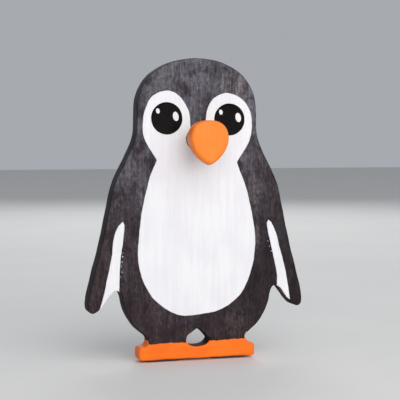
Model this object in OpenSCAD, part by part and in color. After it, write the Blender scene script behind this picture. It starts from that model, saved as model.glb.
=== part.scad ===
// Eyeglasses display stand: a penguin cut from one board, with a raised beak on a peg.
// The bridge of the spectacles lies on the peg, behind the beak.
// Millimetres. X runs across the figure, -Y is its front, +Z is up, and Z = 0 is the table.

/* [Board] */
// Thickness of the board that the figure is cut from
board_t = 10; // [8:0.5:14]
// Half width of the head
head_rx = 32.2; // [31.8:0.1:32.6]
// Height of the head's dome above the eye line
head_rz = 28; // [26:0.5:30]
// Squareness of the dome: 2 is an ellipse, and more is fuller at the shoulders
head_fullness = 2.2; // [2:0.05:2.4]
// Height of the line through the widest part of the head
head_z = 129; // [128:0.5:131]

/* [Feet] */
// Half width across the toes
toe_x = 31.2; // [30.6:0.2:32]
// Height of the top of the toes
toe_z = 7.6; // [7.2:0.1:7.9]
// Thickness of the felt pads
pad_t = 1.3; // [0.8:0.1:2]
// Length of each felt pad under the feet
pad_l = 20; // [12:1:24]
// Width of the felt pads
pad_w = 8; // [6:0.5:8]

/* [Beak] */
// Width of the beak
beak_w = 19.6; // [16:0.2:22]
// Height of the widest part of the beak
beak_z = 115.8; // [113:0.2:118]
// Rise of the beak's rounded top above its widest part
beak_rise = 9; // [7:0.2:10]
// Drop of the beak's tip below its widest part
beak_drop = 13.6; // [11:0.2:15]
// Thickness of the beak block
beak_t = 9.6; // [9:0.1:14]
// Radius of the round-over along the beak's edges
beak_edge_r = 1.6; // [1:0.1:2]
// Clear gap between the beak and the board, where the spectacle bridge lies
bridge_gap = 13.7; // [10:0.1:18]

/* [Peg and dowels] */
// Diameter of the nose peg
peg_d = 12; // [8:0.5:13]
// Depth of the peg's blind hole in the beak
peg_in_beak = 7; // [5:0.5:8]
// Diameter of the dowels that hold the prop
dowel_d = 6; // [5:0.5:7]
// Depth of each dowel in the board
dowel_in_board = 6.5; // [5:0.5:7]
// Depth of each dowel in the prop
dowel_in_prop = 12; // [8:0.5:14]
// Radial room for glue around a peg or dowel
glue_gap = 0.05; // [0.02:0.01:0.1]

/* [Prop] */
// Thickness of the rear prop
prop_t = 10; // [8:0.5:12]
// Reach of the prop behind the board
prop_reach = 48; // [42:1:56]
// Height of the top of the prop
prop_top = 84; // [80:1:92]
// Height of the underside of the prop where it leaves the board
prop_low = 25; // [22:1:28]
// Length of the prop's flat foot
prop_foot = 16; // [14:1:20]

/* [Paint] */
// Thickness of one paint film
film_t = 0.2; // [0.1:0.05:0.3]
// Height up to which the feet are painted
foot_line = 10.4; // [9.6:0.1:11]
// Diameter of the pupils
pupil_d = 16.6; // [15:0.2:17]
// Slant of the highlights in the eyes, in degrees
highlight_tilt = 12; // [0:1:30]

/* [Hidden] */

beak_reach = bridge_gap + beak_t;
front_y = (beak_reach - board_t - prop_reach) / 2; // puts the middle of the depth at Y = 0
back_y = front_y + board_t;
peg_z = beak_z - 0.4;
dowel_zs = [prop_low + 13, prop_top - 20];
corner_r = 1.3; // rounding of the toes' corners
slack = 1; // how far a cutter runs past the face it opens

// Outer edge of the right flipper, from the neck down to the flipper's widest place
flank = [[head_rx, head_z], [head_rx + 0.1, 120], [33.8, 113.4], [37.4, 106], [41, 99], [44, 92],
    [46.8, 80], [49.2, 69], [51.7, 57.5], [54.8, 46.5], [57.3, 36.5], [58.1, 31]];
// Flipper tip, the notch behind it, and the inward curve of the body down to the ankle
tip_and_ankle = [[58.1, 31], [57.7, 28.2], [56, 26.7], [53.7, 27.3], [50.8, 29.9], [47.6, 34.2],
    [45.3, 37], [43.2, 38], [41.4, 37], [40.1, 34.2], [39, 29.6], [36.9, 24.2], [33.3, 18.7],
    [29.4, 15], [27.1, 13], [26.3, 11.2], [26.7, 9.3], [28.1, 8], [toe_x - corner_r, toe_z]];
// Pointed arch between the feet: up its left side to the apex, down its right side, and its bowl
arch_left = [[-6.1, 10], [-5.9, 12], [-3.2, 14.7], [0, 16.9]];
arch_right = [[0, 16.9], [3.6, 14.3], [6.6, 10.8]];
arch_bowl = [[6.6, 10.8], [5.9, 9.1], [3.7, 7.7], [0.5, 7.2], [-2.4, 7.4], [-4.8, 8.4], [-6.1, 10]];

// White edge round the belly, from the right cheek under the belly and up to the left cheek
belly_edge = [[21.4, 103.4], [23.8, 96.8], [26.3, 90.6], [28.6, 82], [30.6, 71.5], [31.7, 62],
    [30.3, 50], [26, 37.8], [20.3, 31], [11, 25.7], [0, 24.1], [-8.4, 23.9], [-15.5, 26.5],
    [-23.8, 33.3], [-29.4, 42.6], [-31.6, 51.5], [-31.9, 59.5], [-30.6, 73], [-28.3, 85.6],
    [-25.4, 96.4], [-21.8, 104.5]];
// White edge round the left eye, from the left cheek over the brow and down beside the beak
left_eye_edge = [[-21.8, 104.5], [-25.2, 109.6], [-28.5, 115.6], [-29.3, 122.4], [-28.4, 129.4],
    [-25.7, 135.6], [-21.6, 138.9], [-16.3, 140.1], [-11.8, 139], [-8, 135.4], [-5.2, 130.6],
    [-4.2, 126], [-3.6, 118], [-2.6, 112]];
// White edge round the right eye, from beside the beak up over the brow and down to the right cheek
right_eye_edge = [[2.6, 112], [3.6, 118], [4.4, 126], [5.4, 131.4], [8.2, 136], [12, 138.5],
    [16.6, 139.3], [22.4, 137.3], [27.4, 132.4], [29.6, 125.4], [28.8, 116.4], [25.5, 109.6],
    [21.4, 103.4]];
// White stripe on each flipper: its outer edge from the top down, then its inner edge going up
left_stripe_outer = [[-39.8, 73.4], [-42.1, 71], [-44.5, 65.2], [-45.8, 55.4], [-47.8, 45.4],
    [-50, 35.6], [-52.6, 27.4]];
left_stripe_inner = [[-41.8, 36], [-41.5, 46], [-41, 54.6], [-39.6, 64], [-39, 71.6],
    [-39.8, 73.4]];
right_stripe_outer = [[38.9, 72.8], [40.4, 71.6], [43.2, 66], [45.3, 58.4], [47.6, 50],
    [49.6, 41], [51.4, 30]];
right_stripe_inner = [[43.9, 36], [43.6, 45.2], [41.4, 55.2], [39.2, 64.4], [38, 71.2],
    [38.9, 72.8]];

left_eye = [-16.6, 126];
right_eye = [17.2, 125.6];
// Highlights of an eye: a small dot towards the figure's right side and a large one on the other
small_dot = [-4.8, 3.7];
large_dot = [4.7, 1];
small_dot_size = [2, 2.8];
large_dot_size = [3.1, 4.9];

prop_heel_r = 2.5;
prop_toe = prop_reach - prop_foot; // where the flat foot of the prop starts, behind the board

// One stretch of a Catmull-Rom curve, between b and c
function stretch(a, b, c, d, t) = b + 0.5 * t * (c - a
    + t * (2 * a - 5 * b + 4 * c - d + t * (3 * b - a - 3 * c + d)));
// A smooth curve through the points, in chords of about the given length, without its last point
function curve(p, chord) = let (n = len(p) - 1) [for (i = [0:n - 1])
    let (before = i > 0 ? p[i - 1] : 2 * p[0] - p[1],
        after = i < n - 1 ? p[i + 2] : 2 * p[n] - p[n - 1],
        chords = max(1, round(norm(p[i + 1] - p[i]) / chord)))
    for (k = [0:chords - 1]) stretch(before, p[i], p[i + 1], after, k / chords)];
function last(p) = p[len(p) - 1];
function arc(centre, r, from, to, steps) = [for (k = [0:steps])
    let (a = from + (to - from) * k / steps) centre + r * [cos(a), sin(a)]];
function mirrored(p) = [for (i = [len(p) - 1:-1:0]) [-p[i].x, p[i].y]];
// A cubic Bezier curve, without its last point
function bezier(a, b, c, d, steps) = [for (k = [0:steps - 1]) let (t = k / steps, s = 1 - t)
    s * s * s * a + 3 * s * s * t * b + 3 * s * t * t * c + t * t * t * d];

// Right half of the figure's silhouette, from the crown of the head to the sole
right_half = concat(
    [for (a = [0:3:87])
        [head_rx * pow(sin(a), 2 / head_fullness), head_z + head_rz * pow(cos(a), 2 / head_fullness)]],
    curve(flank, 2),
    curve(tip_and_ankle, 0.8),
    arc([toe_x - corner_r, toe_z - corner_r], corner_r, 90, 0, 5),
    arc([toe_x - corner_r, pad_t + corner_r], corner_r, 0, -90, 5));
left_half = [for (i = [len(right_half) - 1:-1:1]) [-right_half[i].x, right_half[i].y]];

module silhouette() {
    polygon(concat(right_half, left_half));
}

module arch_between_feet() {
    polygon(concat(curve(arch_left, 1), curve(arch_right, 1), curve(arch_bowl, 1)));
}

// A flat piece whose front view is the 2D shape: its front face at y and its thickness t
module plate(y, t) {
    translate([0, y + t, 0]) rotate([90, 0, 0]) linear_extrude(height = t) children();
}

// A rod along Y from y1 to y2
module rod(z, y1, y2, d) {
    translate([0, y1, z]) rotate([-90, 0, 0]) cylinder(d = d, h = y2 - y1, $fn = 64);
}

module body_solid() {
    plate(front_y, board_t) difference() {
        silhouette();
        arch_between_feet();
    }
}

module body_board() {
    color([0.25, 0.24, 0.26]) difference() {
        body_solid();
        rod(peg_z, front_y - slack, back_y + slack, peg_d + 2 * glue_gap);
        for (z = dowel_zs)
            rod(z, back_y - dowel_in_board, back_y + slack, dowel_d + 2 * glue_gap);
    }
}

module beak_outline() {
    half = concat(
        bezier([0, beak_z + beak_rise], [0.61 * beak_w / 2, beak_z + beak_rise],
            [beak_w / 2, beak_z + 0.66 * beak_rise], [beak_w / 2, beak_z], 14),
        bezier([beak_w / 2, beak_z], [beak_w / 2, beak_z - 0.41 * beak_drop],
            [0.53 * beak_w / 2, beak_z - 0.85 * beak_drop], [0, beak_z - beak_drop], 14),
        [[0, beak_z - beak_drop]]);
    back = mirrored(half);
    polygon(concat(half, [for (i = [1:len(back) - 2]) back[i]]));
}

module beak() {
    layer = 0.02;
    color([0.98, 0.55, 0.2]) difference() {
        hull() {
            for (a = [0:30:90]) {
                inset = beak_edge_r * (1 - sin(a));
                depth = beak_edge_r * (1 - cos(a));
                plate(front_y - beak_reach + depth, layer) offset(r = -inset) beak_outline();
                plate(front_y - bridge_gap - depth - layer, layer) offset(r = -inset) beak_outline();
            }
        }
        rod(peg_z, front_y - bridge_gap - peg_in_beak, front_y - bridge_gap + slack,
            peg_d + 2 * glue_gap);
    }
}

module nose_peg() {
    color([0.8, 0.66, 0.46]) rod(peg_z, front_y - bridge_gap - peg_in_beak, back_y, peg_d);
}

// Side view of the prop: Y counted from the back of the board, and Z
module tail_prop() {
    heel = [prop_reach - prop_heel_r, pad_t + prop_heel_r];
    outline = concat(
        bezier([0, prop_top], [0.28 * prop_reach, 0.97 * prop_top], [0.6 * prop_reach, 0.42 * prop_top],
            [prop_reach, heel.y], 40),
        arc(heel, prop_heel_r, 0, -90, 5),
        bezier([prop_toe, pad_t], [0.8 * prop_toe, 0.62 * prop_low], [0.4 * prop_toe, prop_low],
            [0, prop_low], 24),
        [[0, prop_low]]);
    color([0.22, 0.21, 0.23]) difference() {
        translate([-prop_t / 2, back_y, 0]) rotate([90, 0, 90])
            linear_extrude(height = prop_t) polygon(outline);
        for (z = dowel_zs)
            rod(z, back_y - slack, back_y + dowel_in_prop, dowel_d + 2 * glue_gap);
    }
}

module prop_dowel(z) {
    color([0.8, 0.66, 0.46]) rod(z, back_y - dowel_in_board, back_y + dowel_in_prop, dowel_d);
}

module upper_dowel() {
    prop_dowel(dowel_zs[1]);
}

module lower_dowel() {
    prop_dowel(dowel_zs[0]);
}

module face_and_belly_coat() {
    color([0.96, 0.96, 0.97]) difference() {
        plate(front_y - film_t, film_t) polygon(concat(curve(belly_edge, 1.5),
            curve(left_eye_edge, 1.2), [last(left_eye_edge)],
            curve(right_eye_edge, 1.2)));
        rod(peg_z, front_y - film_t - slack, front_y + slack, peg_d + 0.3);
    }
}

module pupil(eye) {
    color([0.08, 0.08, 0.08]) plate(front_y - 2 * film_t, film_t)
        translate(eye) circle(d = pupil_d, $fn = 64);
}

module pupil_left() {
    pupil(left_eye);
}

module pupil_right() {
    pupil(right_eye);
}

// An oval spot of paint, leaning outwards at the top
module spot(centre, size) {
    translate(centre) rotate(highlight_tilt)
        polygon([for (a = [0:12:348]) [size.x / 2 * cos(a), size.y / 2 * sin(a)]]);
}

module highlights(eye) {
    color([0.97, 0.97, 0.98]) plate(front_y - 3 * film_t, film_t) {
        spot(eye + small_dot, small_dot_size);
        spot(eye + large_dot, large_dot_size);
    }
}

module highlights_left() {
    highlights(left_eye);
}

module highlights_right() {
    highlights(right_eye);
}

module wing_stripe(outer, inner) {
    color([0.96, 0.96, 0.97]) plate(front_y - film_t, film_t) intersection() {
        silhouette();
        polygon(concat(curve(outer, 1.5), [last(outer)], curve(inner, 1.5)));
    }
}

module wing_stripe_left() {
    wing_stripe(left_stripe_outer, left_stripe_inner);
}

module wing_stripe_right() {
    wing_stripe(right_stripe_outer, right_stripe_inner);
}

// Orange film over the front, back, sides and toes of the feet, and inside the arch
module feet_coat() {
    color([0.98, 0.49, 0.1]) difference() {
        plate(front_y - film_t, board_t + 2 * film_t) intersection() {
            offset(delta = film_t) difference() {
                silhouette();
                arch_between_feet();
                translate([-2 * toe_x, foot_line + slack]) square([4 * toe_x, 4 * head_z]);
            }
            translate([-2 * toe_x, pad_t]) square([4 * toe_x, foot_line - pad_t]);
        }
        body_solid();
    }
}

module pad(x, y, length, width) {
    color([0.2, 0.17, 0.15]) translate([x, y, 0]) linear_extrude(height = pad_t) hull() {
        for (side = [-1, 1])
            translate([side * (length - width) / 2, 0]) circle(d = width, $fn = 32);
    }
}

module foot_pad_left() {
    pad(-18, front_y + board_t / 2, pad_l, pad_w);
}

module foot_pad_right() {
    pad(18, front_y + board_t / 2, pad_l, pad_w);
}

module tail_pad() {
    foot_l = prop_foot - 3;
    translate([0, back_y + prop_reach - prop_foot / 2 - 0.5, 0]) rotate(90) pad(0, 0, foot_l, pad_w);
}

body_board();
beak();
nose_peg();
tail_prop();
upper_dowel();
lower_dowel();
face_and_belly_coat();
pupil_left();
pupil_right();
highlights_left();
highlights_right();
wing_stripe_left();
wing_stripe_right();
feet_coat();
foot_pad_left();
foot_pad_right();
tail_pad();
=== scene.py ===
"""Looks for a penguin-shaped eyeglasses display stand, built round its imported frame.

The sawn board, the beak, the peg, the prop and the paint films are made again from the outlines of
the frame's own solids, with sanded edges, brushed paint edges and procedural finishes.
"""

import math
import random

import bmesh
import bpy
import numpy as np
from bpy.props import FloatProperty, FloatVectorProperty, IntProperty, PointerProperty
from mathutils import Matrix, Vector
from mathutils.geometry import tessellate_polygon


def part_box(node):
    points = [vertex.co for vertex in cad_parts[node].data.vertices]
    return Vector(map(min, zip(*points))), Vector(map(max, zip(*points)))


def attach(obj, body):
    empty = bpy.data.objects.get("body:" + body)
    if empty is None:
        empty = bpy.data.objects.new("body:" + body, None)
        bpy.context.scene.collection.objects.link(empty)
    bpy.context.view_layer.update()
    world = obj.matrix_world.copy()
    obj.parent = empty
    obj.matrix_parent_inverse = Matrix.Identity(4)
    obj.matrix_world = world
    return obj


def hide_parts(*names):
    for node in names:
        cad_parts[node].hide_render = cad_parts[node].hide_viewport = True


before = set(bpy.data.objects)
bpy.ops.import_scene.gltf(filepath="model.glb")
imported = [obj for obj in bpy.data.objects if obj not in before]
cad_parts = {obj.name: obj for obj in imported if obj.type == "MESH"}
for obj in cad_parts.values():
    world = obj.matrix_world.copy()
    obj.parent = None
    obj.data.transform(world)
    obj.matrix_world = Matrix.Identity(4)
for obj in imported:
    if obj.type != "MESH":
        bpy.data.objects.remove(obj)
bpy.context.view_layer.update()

bl_info = {
    "name": "Penguin display stand",
    "version": (1, 0, 0),
    "blender": (4, 5, 0),
    "location": "3D View > Sidebar > Display Stand",
    "description": "Builds the painted wooden pieces of an eyeglasses display stand round its frame",
    "category": "Object",
}

MM = 0.001
GLUE_GAP = 0.05 * MM
OUTLINE_STEP = 0.8 * MM  # spacing of the points round the wooden pieces and the pads
ROUND_SIDES = 48  # of a dowel hole
FILM_SINK = 0.06 * MM  # how far a paint film reaches into the wood under it
ARCH_HALF_WIDTH = 7.5 * MM
ARCH_FOOT = 6.5 * MM  # the arch's wall is left in stain above this height

# Places that come from the frame, in metres
BOARD_LOW, BOARD_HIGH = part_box("body_board")
FRONT_Y = BOARD_LOW.y
BACK_Y = BOARD_HIGH.y
PEG_LOW, PEG_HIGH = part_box("nose_peg")
PEG_Z = (PEG_LOW.z + PEG_HIGH.z) / 2
FOOT_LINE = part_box("feet_coat")[1].z
FIGURE_TOP = BOARD_HIGH.z

# Where handling has thinned the stain, and one painted sheen: a centre, the half sizes round it, and how far
# it shows
RUBBED_AND_SHEEN_PLACES = (
    ((-0.017, FRONT_Y, 0.147), (0.016, 0.008, 0.012), 0.12),
    ((0.0320, FRONT_Y, 0.083), (0.0024, 0.006, 0.014), 0.5),
    ((0.0327, FRONT_Y, 0.067), (0.0016, 0.006, 0.013), 0.6),
    ((0.022, FRONT_Y, 0.018), (0.008, 0.006, 0.012), 0.2),
    # Painted sheen on the right of the head, in the rubbed colour
    ((0.020, FRONT_Y, 0.145), (0.013, 0.008, 0.010), 0.42),
)
# Where the stain was soaked in darker, and two patches of painted shadow, in the same form
SOAKED_AND_SHADOW_PLACES = (
    # Painted shadow across the brow, in the two places below
    ((0.003, FRONT_Y, 0.136), (0.014, 0.008, 0.009), 0.5),
    ((-0.006, FRONT_Y, 0.151), (0.006, 0.008, 0.006), 0.35),
    ((0.041, FRONT_Y, 0.045), (0.009, 0.008, 0.022), 0.55),
    ((0.0385, FRONT_Y, 0.063), (0.0060, 0.008, 0.016), 0.85),
    ((-0.036, FRONT_Y, 0.055), (0.004, 0.008, 0.020), 0.5),
)
# Where the wood shows along a rubbed arris: a centre and the half sizes round it
BARE_ARRISES = (
    ((-0.0047, FRONT_Y, 0.0134), (0.0026, 0.003, 0.0024)),
    ((0.0263, FRONT_Y, 0.0125), (0.0014, 0.002, 0.0038)),
)
# Worn wood along the right notch, strong enough to paint in the warm reflection on that shaded wall
NOTCH_WEAR_AND_REFLECTION = ((0.0470, FRONT_Y, 0.0340), (0.006, 0.007, 0.006))

# The lights: name, place in metres, size in metres, power in watts and colour
LIGHTS = (
    ("key", (0.30, -1.0, 0.80), 1.7, 9.4, (1.0, 0.99, 0.97)),
    ("fill", (-0.15, -1.25, 0.35), 1.5, 9.2, (0.98, 0.985, 1.0)),
    ("back", (0.35, 1.15, 0.85), 0.9, 6.0, (1.0, 1.0, 1.0)),
)

FRONT = Vector((0, -1, 0))
LEFT = Vector((-1, 0, 0))
UNDER = Vector((0, 0, -1))


# ---------------------------------------------------------------------------------------------
# Settings that a user would change


def colour_property(name, description, default):
    return FloatVectorProperty(
        name=name, description=description, default=default, subtype="COLOR", size=3, min=0, max=1
    )


def length_property(name, description, default, low=0.0, high=1.0):
    return FloatProperty(
        name=name, description=description, default=default, min=low, max=high,
        unit="LENGTH", subtype="DISTANCE", precision=5,
    )


def angle_property(name, description, degrees):
    return FloatProperty(
        name=name, description=description, default=math.radians(degrees), subtype="ANGLE", unit="ROTATION"
    )


class StandWood(bpy.types.PropertyGroup):
    """The sawn and stained wood."""

    edge_radius: length_property("Edge radius", "Sanded round-over of the board", 0.75 * MM, 0.1 * MM, 2 * MM)
    edge_unevenness: length_property("Edge unevenness", "Wander of the sawn edge", 0.06 * MM, 0, 0.4 * MM)
    stain_low: colour_property("Stain, lower body", "Black stain near the feet", (0.034, 0.0225, 0.0245))
    # Painted sheen: the head colour is lighter and bluer than the stain, and the board turns to it with
    # height.
    stain_head_and_sheen: colour_property("Stain, head", "Greyer, thinner stain on the head", (0.100, 0.093, 0.110))
    # The plum colour also paints the shadow across the brow.
    plum_stain_and_shadow: colour_property("Stain, blotches", "Plum tint where the stain pooled", (0.026, 0.013, 0.021))
    # The rubbed colour also paints the sheen on the right of the head.
    rubbed_stain_and_sheen: colour_property("Stain, rubbed", "Brown grey, thinned by handling", (0.155, 0.124, 0.120))
    pore_black: colour_property("Stain, soaked", "Open pores and sawn sides", (0.008, 0.006, 0.006))
    worn_wood: colour_property("Worn wood", "Wood that shows through on rubbed edges", (0.34, 0.17, 0.07))
    bare_wood: colour_property("Bare wood", "Peg and dowels", (0.58, 0.38, 0.20))


class StandPaint(bpy.types.PropertyGroup):
    """The brushed paint films."""

    edge_wander: length_property("Edge wander", "Slow wander of a brushed edge", 0.07 * MM, 0, 1 * MM)
    edge_bead: FloatProperty(
        name="Edge bead", description="Height of the ridge along a film's edge, as a share of the film",
        default=0.35, min=0, max=1, subtype="FACTOR",
    )
    white: colour_property("White", "Face, belly, stripes and highlights", (0.81, 0.80, 0.812))
    feet_orange: colour_property("Feet orange", "Paint on the feet", (0.93, 0.180, 0.008))
    beak_orange: colour_property("Beak orange", "Paint on the beak", (0.95, 0.245, 0.030))
    eye_black: colour_property("Eye black", "Glossy paint of the pupils", (0.0022, 0.0015, 0.0012))


class StandBeak(bpy.types.PropertyGroup):
    """The beak block."""

    edge_radius: length_property("Edge radius", "Sanded round-over of the front", 2.0 * MM, 0.5 * MM, 3 * MM)
    back_radius: length_property("Back radius", "Sanded round-over of the back", 1.6 * MM, 0.5 * MM, 3 * MM)
    tip_sanding: FloatProperty(
        name="Tip sanding", description="Extra round-over at the back of the tip, in back radii",
        default=1.6, min=0, max=2.5,
    )
    crown: length_property("Crown", "Rise of the front face in its middle", 0.35 * MM, 0, 1 * MM)


class StandSmallParts(bpy.types.PropertyGroup):
    """Pads, dowels, touch-up paint and the painted glints on it."""

    fibre_density: FloatProperty(
        name="Fibre density", description="Felt fibres per square metre of pad", default=1.6e6, min=0,
    )
    fibre_length: length_property("Fibre length", "Length of a felt fibre", 0.55 * MM, 0.1 * MM, 2 * MM)
    flutes: IntProperty(name="Flutes", description="Grooves round a dowel", default=20, min=0, max=40)
    dab_size: length_property("Dab size", "Length of a dab of touch-up paint", 0.9 * MM, 0.2 * MM, 2 * MM)
    dab_spacing: length_property("Dab spacing", "Distance between dabs", 0.95 * MM, 0.3 * MM, 4 * MM)
    # The specks are painted glints of light on the glossy touch-up dabs.
    glint_speck_size: length_property("Speck size", "Length of a stray white speck", 0.62 * MM, 0.1 * MM, 2 * MM)
    felt: colour_property("Felt", "Pressed felt of the pads", (0.030, 0.022, 0.018))


class StandStage(bpy.types.PropertyGroup):
    """Floor, light and camera."""

    distance: length_property("Camera distance", "From the front of the board, on the level", 0.620, 0.2, 5)
    azimuth: angle_property("Camera azimuth", "Turn of the camera's place about the figure", -16.7)
    heading: angle_property("Camera heading", "Turn of the camera's line of sight", -16.81)
    pitch: angle_property("Camera pitch", "Downward tilt of the camera", 2.87)
    height: length_property("Camera height", "Above the floor", 0.1149, 0, 5)
    lens: FloatProperty(name="Lens", description="Focal length in millimetres", default=107.7, min=20)
    floor: colour_property("Floor", "Plain pale floor", (0.70, 0.69, 0.675))
    backdrop: colour_property("Backdrop", "Even grey round the scene", (0.385, 0.405, 0.435))


SETTINGS = {
    "wood": StandWood,
    "paint": StandPaint,
    "beak": StandBeak,
    "small": StandSmallParts,
    "stage": StandStage,
}


class StandSettings(bpy.types.PropertyGroup):
    """All the settings of the display stand."""

    wood: PointerProperty(type=StandWood)
    paint: PointerProperty(type=StandPaint)
    beak: PointerProperty(type=StandBeak)
    small: PointerProperty(type=StandSmallParts)
    stage: PointerProperty(type=StandStage)


# ---------------------------------------------------------------------------------------------
# Outlines, taken from the flat faces of the frame's solids


def signed_area(points):
    ahead = np.roll(points, -1, axis=0)
    return 0.5 * float(np.sum(points[:, 0] * ahead[:, 1] - points[:, 1] * ahead[:, 0]))


def face_outlines(node, normal, axes):
    """Closed outlines of the outermost flat face of a frame node that looks along normal.

    axes are the two coordinates kept, such as (0, 2) for X and Z. The material lies on the left of
    each outline as it is followed, and the largest outline comes first.
    """
    bm = bmesh.new()
    bm.from_mesh(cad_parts[node].data)
    bmesh.ops.remove_doubles(bm, verts=bm.verts, dist=1e-6)
    level = max(v.co.dot(normal) for v in bm.verts)
    flat = {
        f for f in bm.faces
        if f.normal.dot(normal) > 0.99 and abs(f.calc_center_median().dot(normal) - level) < 1e-5
    }
    rim = [e for e in bm.edges if sum(f in flat for f in e.link_faces) == 1]
    neighbours = {}
    for edge in rim:
        a, b = edge.verts
        neighbours.setdefault(a, []).append(b)
        neighbours.setdefault(b, []).append(a)
    outlines, seen = [], set()
    for start in neighbours:
        if start in seen:
            continue
        loop, here = [start], start
        seen.add(start)
        while True:
            onward = [v for v in neighbours[here] if v not in seen]
            if not onward:
                break
            here = onward[0]
            seen.add(here)
            loop.append(here)
        outlines.append(np.array([[v.co[axes[0]], v.co[axes[1]]] for v in loop]))
    bm.free()
    outlines.sort(key=lambda p: -abs(signed_area(p)))
    return [wound(p, counterclockwise=i == 0) for i, p in enumerate(outlines)]


def wound(points, counterclockwise):
    """The outline in the given direction: a hole runs clockwise, with the material on its left."""
    return points if (signed_area(points) > 0) == counterclockwise else points[::-1]


def turn_at(points):
    """The angle by which a closed outline turns at each point, in degrees."""
    back = points - np.roll(points, 1, axis=0)
    ahead = np.roll(points, -1, axis=0) - points
    cross = back[:, 0] * ahead[:, 1] - back[:, 1] * ahead[:, 0]
    return np.degrees(np.arctan2(cross, np.sum(back * ahead, axis=1)))


def curve_through(points, spacing, before, after):
    """Evenly spaced points along a Catmull-Rom curve, without its last point."""
    steps = 6
    p = np.vstack([before, points, after])
    t = np.arange(steps)[:, None] / steps
    dense = []
    for a, b, c, d in zip(p[:-3], p[1:-2], p[2:-1], p[3:]):
        dense.append(b + 0.5 * t * (c - a + t * (2 * a - 5 * b + 4 * c - d + t * (3 * b - a - 3 * c + d))))
    dense = np.vstack([*dense, points[-1:]])
    run = np.concatenate([[0], np.cumsum(np.linalg.norm(np.diff(dense, axis=0), axis=1))])
    count = max(2, round(run[-1] / spacing))
    at = np.linspace(0, run[-1], count + 1)[:-1]
    return np.column_stack([np.interp(at, run, dense[:, k]) for k in (0, 1)])


def split_long_sides(points, longest):
    """The same closed outline with points added along its long straight sides."""
    pieces = []
    for a, b in zip(points, np.roll(points, -1, axis=0)):
        count = max(1, math.ceil(np.linalg.norm(b - a) / longest))
        pieces.append(a + (b - a) * (np.arange(count) / count)[:, None])
    return np.vstack(pieces)


def resampled(points, spacing, corner=32):
    """A closed outline with even spacing, smooth between the corners that it keeps."""
    points = split_long_sides(points, OUTLINE_STEP)
    corners = np.flatnonzero(np.abs(turn_at(points)) > corner)
    if len(corners) == 0:
        closed = np.vstack([points, points[:1]])
        return curve_through(closed, spacing, points[-1:], points[1:2])
    turned = np.roll(points, -corners[0], axis=0)
    starts = [*(corners - corners[0]), len(points)]
    around = np.vstack([turned, turned[:1]])
    sections = []
    for i, j in zip(starts[:-1], starts[1:]):
        part = around[i:j + 1]
        sections.append(curve_through(part, spacing, 2 * part[:1] - part[1:2], 2 * part[-1:] - part[-2:-1]))
    return np.vstack(sections)


def inward(points):
    """Directions into the material, lengthened at corners so that an inset keeps its width."""
    back = points - np.roll(points, 1, axis=0)
    ahead = np.roll(points, -1, axis=0) - points
    sides = [
        np.column_stack([-e[:, 1], e[:, 0]]) / np.linalg.norm(e, axis=1)[:, None] for e in (back, ahead)
    ]
    middle = sides[0] + sides[1]
    middle /= np.maximum(np.linalg.norm(middle, axis=1)[:, None], 1e-9)
    slope = np.maximum(np.sum(middle * sides[0], axis=1), 0.55)
    return middle / slope[:, None]


def room_inside(points):
    """Radius of the largest circle inside a closed outline that touches it at each point."""
    normals = inward(points)
    normals /= np.linalg.norm(normals, axis=1)[:, None]
    room = np.full(len(points), np.inf)
    for i, (point, normal) in enumerate(zip(points, normals)):
        across_gap = points - point
        toward = across_gap @ normal
        ahead = toward > 1e-6
        room[i] = np.min(np.sum(across_gap[ahead] ** 2, axis=1) / (2 * toward[ahead]), initial=1.0)
    lowest = np.minimum(room, np.minimum(np.roll(room, 1), np.roll(room, -1)))
    return (np.roll(lowest, 1) + lowest + np.roll(lowest, -1)) / 3


def run_along(points):
    """Distance along a closed outline at each point, and its whole length."""
    steps = np.linalg.norm(np.roll(points, -1, axis=0) - points, axis=1)
    return np.concatenate([[0], np.cumsum(steps)[:-1]]), float(steps.sum())


def wander(points, size, waves_mm, rng):
    """A smooth random wave along a closed outline, of about the given size at each point."""
    at, length = run_along(points)
    total = np.zeros(len(points))
    for wave, share in waves_mm:
        turns = max(1, round(length / (wave * MM)))
        total += share * np.sin(2 * np.pi * (turns * at / length + rng.random()))
    return size * total


SAW_WAVES = ((31, 0.9), (13, 0.6), (5, 0.35))
BRUSH_WAVES = ((23, 0.8), (9, 0.7), (4.1, 0.45), (1.9, 0.25), (1.1, 0.12))


# ---------------------------------------------------------------------------------------------
# Solids


class Ring:
    """One step of a lofted solid's section.

    inset is in edge radii and extra in metres, both into the material. depth is in metres, and
    deeper adds edge radii to it. worn marks the rubbed part of an edge and sawn its side wall.
    """

    def __init__(self, inset, depth, extra=0.0, deeper=0.0, worn=0.0, sawn=0.0):
        self.inset = inset
        self.depth = depth
        self.extra = extra
        self.deeper = deeper
        self.worn = worn
        self.sawn = sawn


def slab_rings(low, high, steps=5, support=0.3 * MM):
    """Rings of a flat piece from low to high, rounded along both edges."""
    angles = [math.pi / 2 * k / (steps - 1) for k in range(steps)]
    near = [
        Ring(1 - math.sin(a), low, deeper=1 - math.cos(a), worn=math.sin(2 * a), sawn=math.sin(a))
        for a in angles
    ]
    far = [
        Ring(1 - math.sin(a), high, deeper=math.cos(a) - 1, worn=math.sin(2 * a), sawn=math.sin(a))
        for a in reversed(angles)
    ]
    middle = [Ring(0, low + (high - low) * share, sawn=1) for share in (0.3, 0.7)]
    return [Ring(1, low, extra=support), *near, *middle, *far, Ring(1, high, extra=support)]


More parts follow.
